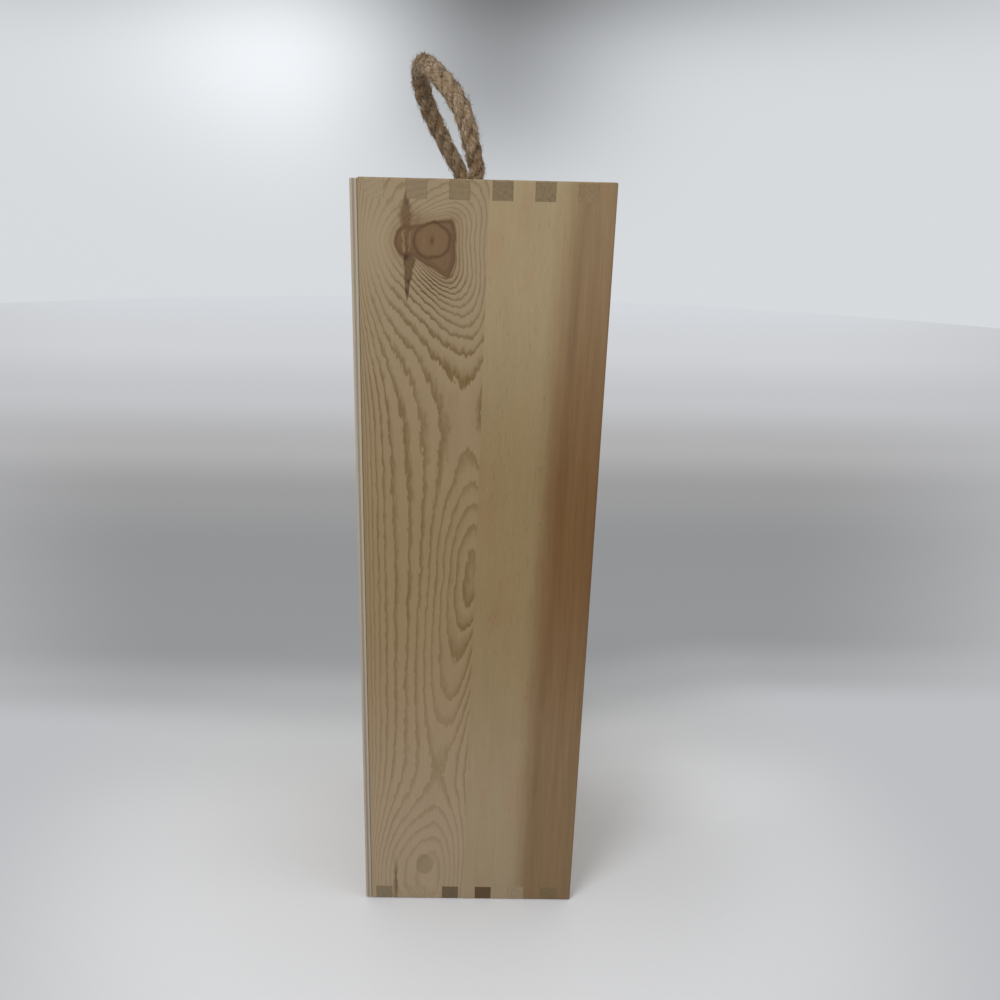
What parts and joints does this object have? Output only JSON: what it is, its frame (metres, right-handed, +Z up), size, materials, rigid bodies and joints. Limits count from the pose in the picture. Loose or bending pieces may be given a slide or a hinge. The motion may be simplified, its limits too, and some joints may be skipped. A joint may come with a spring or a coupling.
{
  "type": "wooden wine box",
  "caption": "Upright finger-jointed wooden box for one bottle, with a sliding front lid, a thin plywood back and a knotted rope handle.",
  "frame": {"origin": "middle of the rectangle that the box stands on, on the floor", "axes": "+Z up along the bottle, -Y towards the sliding lid at the front, +Y towards the plywood back, -X the left side that the picture shows"},
  "size_m": [0.11, 0.108, 0.4117],
  "materials": {
    "side_wood": "sanded, unfinished",
    "end_wood": "sanded, unfinished",
    "plywood": "sanded, unfinished",
    "nail_steel": "bright wire",
    "jute_rope": "hairy twisted jute"
  },
  "bodies": {
    "case": {"left_side_back_stave": "side_wood", "left_side_front_stave": "side_wood", "right_side_back_stave": "side_wood", "right_side_front_stave": "side_wood", "top_board": "end_wood", "bottom_board": "end_wood", "back_panel": "plywood", "back_nails": "nail_steel", "rope_knot_left": "jute_rope", "rope_knot_right": "jute_rope"},
    "lid": {"sliding_lid": "plywood"},
    "handle": {"rope_loop": "jute_rope"}
  },
  "joints": [
    {"name": "lid_slide", "type": "slide", "parent": "case", "child": "lid", "axis": [0, 0, 1], "range_m": [0, 0.356]},
    {"name": "handle_swing", "type": "hinge", "parent": "case", "child": "handle", "pos_m": [0, 0.007, 0.3643], "axis": [0.9904, 0.138, 0], "range_deg": [-50, 80]}
  ]
}
